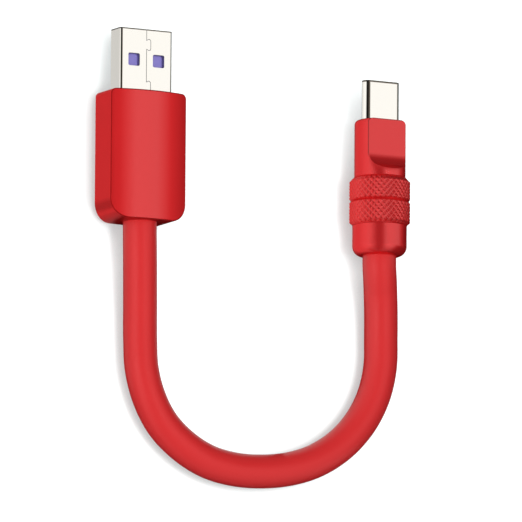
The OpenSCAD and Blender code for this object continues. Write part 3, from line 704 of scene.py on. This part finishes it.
def make_knurl_group():
    """Presses a diamond knurl into a turned surface: two families of V grooves that cross each other."""
    tree = bpy.data.node_groups.new("diamond_knurl", "GeometryNodeTree")
    for label, kind, default in (
        ("Geometry", "NodeSocketGeometry", None),
        ("Count", "NodeSocketFloat", 34.0),
        ("Row", "NodeSocketFloat", 0.00064),
        ("Depth", "NodeSocketFloat", 0.00022),
        ("Crest", "NodeSocketFloat", 0.4),
        ("Line", "NodeSocketFloat", 0.15),
        ("Axis", "NodeSocketVector", (0.0, 0.0, 0.0)),
        ("Length", "NodeSocketFloat", 0.005),
        ("Rim", "NodeSocketFloat", 0.00015),
        ("Bore", "NodeSocketFloat", 0.005),
        ("Material", "NodeSocketMaterial", None),
    ):
        socket = tree.interface.new_socket(name=label, in_out="INPUT", socket_type=kind)
        if default is not None:
            socket.default_value = default
    tree.interface.new_socket(name="Geometry", in_out="OUTPUT", socket_type="NodeSocketGeometry")
    g = Graph(tree)
    given, out = g.add("NodeGroupInput"), g.add("NodeGroupOutput")
    spot = g.vector("SUBTRACT", g.add("GeometryNodeInputPosition").outputs[0], given.outputs["Axis"])
    x, y, z = g.split(spot)
    u = g.product(g.math("ARCTAN2", z, x), g.math("DIVIDE", given.outputs["Count"], 2 * math.pi))
    v = g.math("DIVIDE", y, g.product(given.outputs["Row"], 2.0))
    rising = g.math("PINGPONG", g.math("ADD", u, v), 0.5)
    falling = g.math("PINGPONG", g.math("SUBTRACT", u, v), 0.5)
    nearest = g.math("MINIMUM", rising, falling)
    height = g.math("DIVIDE", nearest, given.outputs["Crest"])
    sunk = g.math("SUBTRACT", 1.0, g.math("MINIMUM", height, 1.0))
    flat = g.add("ShaderNodeCombineXYZ", {"X": x, "Z": z}).outputs[0]
    radius = g.add("ShaderNodeVectorMath", {0: flat}, operation="LENGTH").outputs["Value"]
    from_end = g.math("MINIMUM", y, g.math("SUBTRACT", given.outputs["Length"], y))
    past_rim = g.math("GREATER_THAN", from_end, given.outputs["Rim"])
    off_bore = g.math("GREATER_THAN", radius, given.outputs["Bore"])
    knurled = g.product(past_rim, off_bore)
    press = g.product(sunk, knurled, given.outputs["Depth"])
    offset = g.scaled(g.vector("NORMALIZE", flat), g.product(press, -1.0))
    moved = g.add("GeometryNodeSetPosition", {"Geometry": given.outputs["Geometry"], "Offset": offset})
    # The lines along the cuts carry a painted highlight in the knurl's material
    line = g.product(g.remap(nearest, 0.02, given.outputs["Line"], 1.0, 0.0), knurled)
    marked = g.add(
        "GeometryNodeStoreNamedAttribute",
        {"Geometry": moved.outputs["Geometry"], "Name": "knurl_line", "Value": line},
        data_type="FLOAT",
        domain="POINT",
    )
    real = g.add("GeometryNodeRealizeInstances", {"Geometry": marked.outputs["Geometry"]})
    dressed = g.add(
        "GeometryNodeSetMaterial",
        {"Geometry": real.outputs["Geometry"], "Material": given.outputs["Material"]},
    )
    g.feed(out.inputs["Geometry"], dressed.outputs["Geometry"])
    return tree


KNURL = make_knurl_group()


def make_collar(node, start, rear_chamfer, front_chamfer):
    """A turned collar with the knurl pressed over its barrel and both chamfers."""
    radius, rim, count, row, steps = 6.25, 0.15, 34, 0.64, 6
    pitch = row / steps
    places = set(np.round(np.arange(rim + pitch / 2, COLLAR_L - rim, pitch), 4))
    places |= {0.0, rim, rear_chamfer, COLLAR_L - front_chamfer, COLLAR_L - rim, COLLAR_L}
    profile = [
        (radius - max(0.0, rear_chamfer - y, y - (COLLAR_L - front_chamfer)), y)
        for y in sorted(places)
    ]
    profile += [(NECK_SEAT_R, COLLAR_L), (NECK_SEAT_R, 0.0)]
    piece = turned(node + "_dress", profile, count * 2 * steps, RED_KNURL, start)
    knurl = piece.modifiers.new("knurl", "NODES")
    knurl.node_group = KNURL
    values = {
        "Count": float(count),
        "Row": row * MM,
        "Depth": 0.2 * MM,
        "Crest": 0.45,
        "Axis": (X_C * MM, (Y_C + start) * MM, Z_C * MM),
        "Length": COLLAR_L * MM,
        "Rim": (rim + 0.01) * MM,
        "Bore": (NECK_SEAT_R + 0.1) * MM,
        "Material": RED_KNURL,
    }
    for item in KNURL.interface.items_tree:
        if item.in_out == "INPUT" and item.name in values:
            knurl[item.identifier] = values[item.name]
    apply_modifiers(piece)
    settle(piece, sharp_angle=20.0)
    finish_piece(piece, "red_metal", node)


make_collar("knurled_collar_rear", SLEEVE_L, rear_chamfer=0.7, front_chamfer=0.4)
make_collar("knurled_collar_front", SLEEVE_L + COLLAR_L, rear_chamfer=0.4, front_chamfer=1.0)


# ---- Housing and head ------------------------------------------------------

def cut(piece, *cutters):
    """Takes the cutters' shapes out of a piece."""
    for cutter in cutters:
        hollow = piece.modifiers.new("cut", "BOOLEAN")
        hollow.operation = "DIFFERENCE"
        hollow.solver = "EXACT"
        hollow.object = cutter
    apply_modifiers(piece)
    for cutter in cutters:
        bpy.data.objects.remove(cutter)


def prism(name, outline, start, end, place, along="y"):
    """An outline drawn out along one axis: (x, z) pairs along Y, or (y, z) pairs along X."""
    points = []
    for run in (start, end):
        for a, b in outline:
            spot = (a, run, b) if along == "y" else (run, a, b)
            points.append(np.array(spot) + place)
    n = len(outline)
    faces = [(i, (i + 1) % n, n + (i + 1) % n, n + i) for i in range(n)]
    faces += [tuple(range(n))[::-1], tuple(range(n, 2 * n))]
    return closed_piece(name, points, faces, RED_METAL)


def round_outline(w, h, r, steps=12):
    """A rounded rectangle about the middle."""
    points = []
    for cx, cy, start in ((1, 1, 0), (-1, 1, 90), (-1, -1, 180), (1, -1, 270)):
        points += arc(cx * (w / 2 - r), cy * (h / 2 - r), r, start, start + 90, steps)
    return points


def circle_outline(r):
    steps = 96
    return arc(0, 0, r, 0, 360 - 360 / steps, steps - 1)


# How much painted shade the housing's fillets take as a dark edge line, by the rings of points from the side
# to the broad face
FILLET_PAINTED_SHADE = (0.0, 0.0, 0.5, 0.9, 0.5, 0.0, 0.0)


def make_housing():
    """The USB-A housing: crowned broad faces, flat sides, all edges rounded over."""
    half, side, crown = 8.6, 3.6, 1.6
    front_r, rear_r, fillet = 1.1, 3.8, 0.3
    bow = (half ** 2 + crown ** 2) / (2 * crown)
    place = np.array((X_A, Y_A, Z_A))

    def rise(x):
        return side + math.sqrt(bow ** 2 - x ** 2) - (bow - crown)

    # Places across the face: even steps in the middle, and the corners' arcs
    fine = set(np.round(np.linspace(0, half - rear_r, 24), 4))
    for corner in (front_r, rear_r):
        for turn in np.linspace(0, 90, 20):
            fine.add(round(half - corner + (corner - fillet) * math.sin(math.radians(turn)), 4))
    across = sorted(fine | {-x for x in fine})

    def edge_point(x, corner, level, way, inset):
        """The outline's point that ends up at x once it is inset by the whole fillet."""
        reach = half - corner
        if abs(x) <= reach:
            return x, level - way * inset
        swing = math.asin(min(1.0, (abs(x) - reach) / (corner - fillet)))
        out, along = (corner - inset) * math.sin(swing), (corner - inset) * math.cos(swing)
        return math.copysign(reach + out, x), level - way * corner + way * along

    def outline(inset):
        front = [edge_point(x, front_r, HOUSING_L, 1, inset) for x in across]
        rear = [edge_point(x, rear_r, 0.0, -1, inset) for x in reversed(across)]
        return front + rear

    quarter = np.linspace(0, math.pi / 2, len(FILLET_PAINTED_SHADE))
    levels = [(fillet * (1 - math.cos(a)), fillet * (1 - math.sin(a))) for a in quarter]
    rings = []
    for sign, order in ((-1, reversed(levels)), (1, levels)):
        for inset, drop in order:
            edge = outline(inset)
            rings.append([(x, y, sign * (rise(min(abs(x), half)) - drop)) for x, y in edge])
    points = [q for ring in rings for q in ring]
    n, columns = len(rings[0]), len(across)
    faces = lathe_faces(len(rings), n, False)
    for base, flip in ((0, True), ((len(rings) - 1) * n, False)):
        for i in range(columns - 1):
            quad = (base + i, base + i + 1, base + n - 2 - i, base + n - 1 - i)
            faces.append(quad[::-1] if flip else quad)
    name = "usb_a_housing_dress"
    mesh = mesh_of(name, np.array(points) + place, faces)
    tones = [FILLET_PAINTED_SHADE[k % len(FILLET_PAINTED_SHADE)] for k in range(len(rings)) for _ in range(n)]
    mesh.attributes.new("painted_edge_shade", "FLOAT", "POINT").data.foreach_set("value", tones)
    weld(mesh, gap=0.001, turn_out=True)
    piece = link(name, mesh, RED_CROWN)
    # The shell's slot through the front wall, the room behind it, and the cord's bore into the room
    inside, front_wall = 5.0, 1.2
    shell_shape = round_outline(w=12.1, h=4.6, r=0.65)
    room_shape = round_outline(w=14.0, h=6.2, r=0.02, steps=1)
    slot = prism("slot", shell_shape, inside, HOUSING_L + 1.0, place)
    room = prism("room", room_shape, inside, HOUSING_L - front_wall, place)
    bore = prism("bore", circle_outline(CORD_BORE_R), -1.0, inside + 1.0, place)
    cut(piece, slot, room, bore)
    settle(piece, sharp_angle=40.0)
    finish_piece(piece, "red_metal", "usb_a_housing")


make_housing()


def make_head():
    """The USB-C head: a round bar with two milled flats that end in coves, its edges broken."""
    bar_r, shoulder, edge_r, cove_r = 5.25, 16.3, 0.9, 3.5
    neck_r, neck_rear, bore_r, bore_end = 4.7, 3.05, 4.2, FLAT_END - 3.229
    place = np.array((X_C, Y_C, Z_C))
    profile = [(0.0, neck_rear), (neck_r, neck_rear), (neck_r, shoulder), (bar_r, shoulder)]
    profile += arc(bar_r - edge_r, HEAD_FRONT - edge_r, edge_r, 0, 90, 16) + [(0.0, HEAD_FRONT)]
    piece = turned("usb_c_head_dress", profile, 240, RED_HEAD, closed=False)
    past_front, past_top, past_side = HEAD_FRONT + 1, FLAT_Z + 3 * cove_r, 7.0
    cutters = []
    for sign in (1, -1):
        side_view = [(past_front, FLAT_Z), (FLAT_END, FLAT_Z)]
        side_view += arc(FLAT_END, FLAT_Z + cove_r, cove_r, 268, 181, 48)
        side_view += [(FLAT_END - cove_r, past_top), (past_front, past_top)]
        milled = [(y, sign * z) for y, z in side_view]
        cutters.append(prism("flat", milled, -past_side, past_side, place, along="x"))
    cutters.append(prism("neck_bore", circle_outline(bore_r), 2.0, bore_end, place))
    # The room between the flats is the bore with its top and bottom cut off
    room_half, front_wall, grip, overlap = 2.4, 1.25, 4.65, 0.05
    reach = math.degrees(math.asin(room_half / bore_r))
    room = arc(0, 0, bore_r, -reach, reach, 16) + arc(0, 0, bore_r, 180 - reach, 180 + reach, 16)
    cutters.append(prism("room", room, bore_end - overlap, HEAD_FRONT - front_wall, place))
    pocket = round_outline(w=8.35, h=2.5, r=1.249, steps=24)
    cutters.append(prism("pocket", pocket, HEAD_FRONT - grip, past_front, place))
    cut(piece, *cutters)
    weld(piece.data, gap=0.002, flat_angle=0.02)
    break_edges(piece, width=0.1, segments=2, angle=28)
    settle(piece, sharp_angle=40.0)
    finish_piece(piece, "red_metal", "usb_c_head")


make_head()


# ---- Steel shells ----------------------------------------------------------

def make_shell(node, steel, bevel, segments, is_cut):
    """A plug's shell: the CAD node's sheet as one merged mesh, its cut edges broken and of bare metal painted
    near-black as shade.
    """
    mesh = NODES[node].data.copy()
    weld(mesh, gap=0.002)
    piece = link(node + "_dress", mesh, steel)
    mesh.materials.append(CUT_EDGE_SHADE)
    for face in mesh.polygons:
        if is_cut(face.center / MM, face.normal):
            face.material_index = 1
    break_edges(piece, bevel, segments, angle=40, material=1)
    settle(piece, sharp_angle=50.0)
    # The broad faces keep their own normal at every corner
    mesh = piece.data
    normals = [corner.vector.copy() for corner in mesh.corner_normals]
    for face in mesh.polygons:
        if abs(face.normal.z) > 0.99999:
            for loop in face.loop_indices:
                normals[loop] = face.normal.copy()
    mesh.normals_split_custom_set(normals)
    finish_piece(piece, "shell_steel", node)


def is_rim(spot, normal):
    """The rim at a shell's tip."""
    return normal.y > 0.7


def is_cut_a(spot, normal):
    """The rim, and the walls of the seam and windows in the broad faces of the USB-A shell."""
    sheet_middle, sheet_reach, broad_half = 2.1, 0.16, 5.3
    in_sheet = abs(abs(spot.z - Z_A) - sheet_middle) < sheet_reach
    is_wall = in_sheet and abs(spot.x - X_A) < broad_half and abs(normal.z) < 0.5
    return is_rim(spot, normal) or is_wall


make_shell("usb_a_shell", SHELL_STEEL_A, bevel=0.05, segments=2, is_cut=is_cut_a)
make_shell("usb_c_shell", SHELL_STEEL_C, bevel=0.06, segments=3, is_cut=is_rim)


# ---- Floor, world and lamps ------------------------------------------------

WHITE, WARM_WHITE = (1.0, 1.0, 1.0, 1.0), (1.0, 0.99, 0.97, 1.0)
TABLE_GREY = (0.44, 0.5, 0.5, 1.0)
# What metal mirrors of the table: a painted reflection glow, bright where white cards would lie beside the
# plugs, and darker
# elsewhere. Stops are in millimetres: along Y on the left of the USB-A plug, then along X and along Y for the
# rest
MIRROR_GLOW_LEFT = ((-60, 0.0), (-50, 0.5), (-27, 0.5), (-21, 0.68), (6, 0.68), (10, 0.66), (40, 0.66))
MIRROR_GLOW_MIDDLE = ((-24, 0.0), (-14, 0.0), (-9, 0.95), (21, 0.95), (26, 0.0))
MIRROR_GLOW_NEAR = ((-68, 0.0), (-60, 1.0), (40, 1.0))


def bare_material(name):
    """A material without its usual shader, with its graph and its open surface socket."""
    material = bpy.data.materials.new(name)
    material.use_nodes = True
    nodes = material.node_tree.nodes
    nodes.remove(nodes["Principled BSDF"])
    return material, Graph(material.node_tree), nodes["Material Output"].inputs["Surface"]


def make_floor():
    """A white table that keeps the object's shadow from the lamps, with a painted contact shadow in its glow
    and a painted reflection glow that only mirrors see.
    """
    reach = 3000.0
    corners = [(-reach, -reach, 0), (reach, -reach, 0), (reach, reach, 0), (-reach, reach, 0)]
    material, g, surface = bare_material("table_white")
    path = g.add("ShaderNodeLightPath")
    diffuse = g.add("ShaderNodeBsdfDiffuse", {"Color": TABLE_GREY}).outputs[0]
    # Painted contact shadow: the glow that the camera sees dims where ambient occlusion finds the object near
    touched = g.remap(g.open_sky(3.5), 0.4, 1.0, 0.57, 0.8)
    covered = g.remap(g.open_sky(9.0), 0.4, 0.64, 0.6, 1.0)
    contact = g.product(touched, covered)
    glow = g.glow(WHITE, g.product(path.outputs["Is Camera Ray"], contact))
    lit = g.add("ShaderNodeAddShader", {0: diffuse, 1: glow}).outputs[0]
    # Painted reflection: a glow by place that only glossy rays see
    x, y, _ = g.place()
    left = g.ramp(y, -100, 100, MIRROR_GLOW_LEFT)
    middle = g.product(g.ramp(x, -100, 100, MIRROR_GLOW_MIDDLE), g.ramp(y, -100, 100, MIRROR_GLOW_NEAR))
    on_right = g.remap(x, -31, -29)
    mirrored = g.glow(WARM_WHITE, g.mix_value(on_right, left, middle))
    g.feed(surface, g.mix_shader(path.outputs["Is Glossy Ray"], lit, mirrored))
    floor = link("table", mesh_of("table", corners, [(0, 1, 2, 3)]), material)


# What metal mirrors of the room, by the angle from straight up towards +X: a white wall on the left, the dark
# gap between it and the softbox overhead, the softbox, and the dark room on the right
MIRROR_ACROSS = (
    (-180, 0.6), (-128, 1.1), (-80, 1.1), (-68, 0.95), (-54, 0.45), (-42, 0.04),
    (-26, 0.0), (-15, 0.06), (-8, 0.5), (0, 0.92), (16, 1.02), (50, 1.0), (64, 0.85), (76, 0.6), (97, 0.0),
)
# The same by the direction's part along Y: the softbox ends not far beyond the plugs' tips
MIRROR_ALONG = ((-0.95, 0.5), (-0.7, 0.7), (-0.45, 1.0), (0.22, 1.0), (0.42, 0.35), (0.62, 0.0))
# What it mirrors all over, and the level of a window beyond the left end of the softbox, which shows in the
# broad faces from the far side
MIRROR_BASE, WINDOW_LEVEL = 0.04, 0.75


def make_world():
    """A soft white room. What metal mirrors of it has its own levels, apart from the light it gives."""
    world = bpy.data.worlds.new("studio")
    bpy.context.scene.world = world
    world.use_nodes = True
    g = Graph(world.node_tree)
    x, y, z = g.split(g.add("ShaderNodeTexCoord").outputs["Generated"])
    lean = g.math("DEGREES", g.math("ARCTAN2", x, z))
    across = g.ramp(lean, -180, 180, MIRROR_ACROSS)
    along = g.ramp(y, -1, 1, MIRROR_ALONG)
    window_left = g.remap(x, -0.35, -0.2, WINDOW_LEVEL, 0.0)
    window = g.product(window_left, g.remap(y, 0.35, 0.5), g.remap(y, 0.7, 0.85, 1.0, 0.0))
    mirror = g.math("MAXIMUM", g.math("MULTIPLY_ADD", across, along, MIRROR_BASE), window)
    from_left, from_rear = g.remap(x, -1, 1, 0.66, 0.28), g.remap(y, 0.0, 0.8, 1.0, 0.7)
    soft = g.product(from_left, from_rear)
    glossy = g.add("ShaderNodeLightPath").outputs["Is Glossy Ray"]
    background = world.node_tree.nodes["Background"]
    g.feed(background.inputs["Color"], WARM_WHITE)
    g.feed(background.inputs["Strength"], g.mix_value(glossy, soft, mirror))


LIT_MIDDLE = Vector((0.0, -25.0, 0.0)) * MM


def make_lamp(name, way, distance, size, power, shadow=True):
    """A square soft lamp that faces the object from a direction. In mirrors the world stands for it."""
    data = bpy.data.lights.new(name, "AREA")
    data.shape = "SQUARE"
    data.size = size
    data.energy = power
    data.use_shadow = shadow
    lamp = bpy.data.objects.new(name, data)
    bpy.context.scene.collection.objects.link(lamp)
    back = Vector(way).normalized()
    lamp.location = LIT_MIDDLE + back * distance
    lamp.rotation_mode = "QUATERNION"
    lamp.rotation_quaternion = back.to_track_quat("Z", "Y")
    lamp.visible_glossy = False


def make_card(name, x, start, end, solid, clear, level=0.0, reach=None):
    """A card that stands along Y and fades out upwards from solid to clear, seen only in mirrors: a black one
    by what stands on its left, a lit one by what stands on its right. Mirrors beyond its reach miss it."""
    corners = [(x, start, 0), (x, end, 0), (x, end, clear), (x, start, clear)]
    face = (0, 1, 2, 3) if level else (0, 3, 2, 1)
    material, g, surface = bare_material(name)
    gone = g.remap(g.place()[2], solid, clear, smooth=True)
    gone = g.math("MAXIMUM", gone, g.add("ShaderNodeNewGeometry").outputs["Backfacing"])
    if reach:
        fade = 3.0
        run = g.add("ShaderNodeLightPath").outputs["Ray Length"]
        gone = g.math("MAXIMUM", gone, g.remap(run, (reach - fade) * MM, reach * MM))
    pane = g.add("ShaderNodeBsdfTransparent").outputs[0]
    g.feed(surface, g.mix_shader(gone, g.glow(WARM_WHITE, level), pane))
    card = link(name, mesh_of(name, corners, [face]), material)
    card.visible_camera = card.visible_diffuse = card.visible_shadow = card.visible_transmission = False


make_floor()
make_world()
make_card("card_by_housing", x=8.0, start=-20.0, end=40.0, solid=14.0, clear=42.0, reach=41.0)
make_card("card_by_left_run", x=8.0, start=-62.0, end=-20.0, solid=30.0, clear=60.0)
make_card("card_by_right_run", x=62.0, start=-75.0, end=-22.0, solid=30.0, clear=60.0)
make_card("card_by_usb_c_plug", x=-8.0, start=-62.0, end=60.0, solid=7.0, clear=16.0, level=1.1)
make_lamp("key", (0.12, -0.05, 1.0), distance=0.9, size=0.25, power=3.3)
make_lamp("fill", (-0.8, -0.1, 0.5), distance=0.9, size=0.4, power=3.8, shadow=False)

bpy.context.scene.view_settings.view_transform = "Standard"
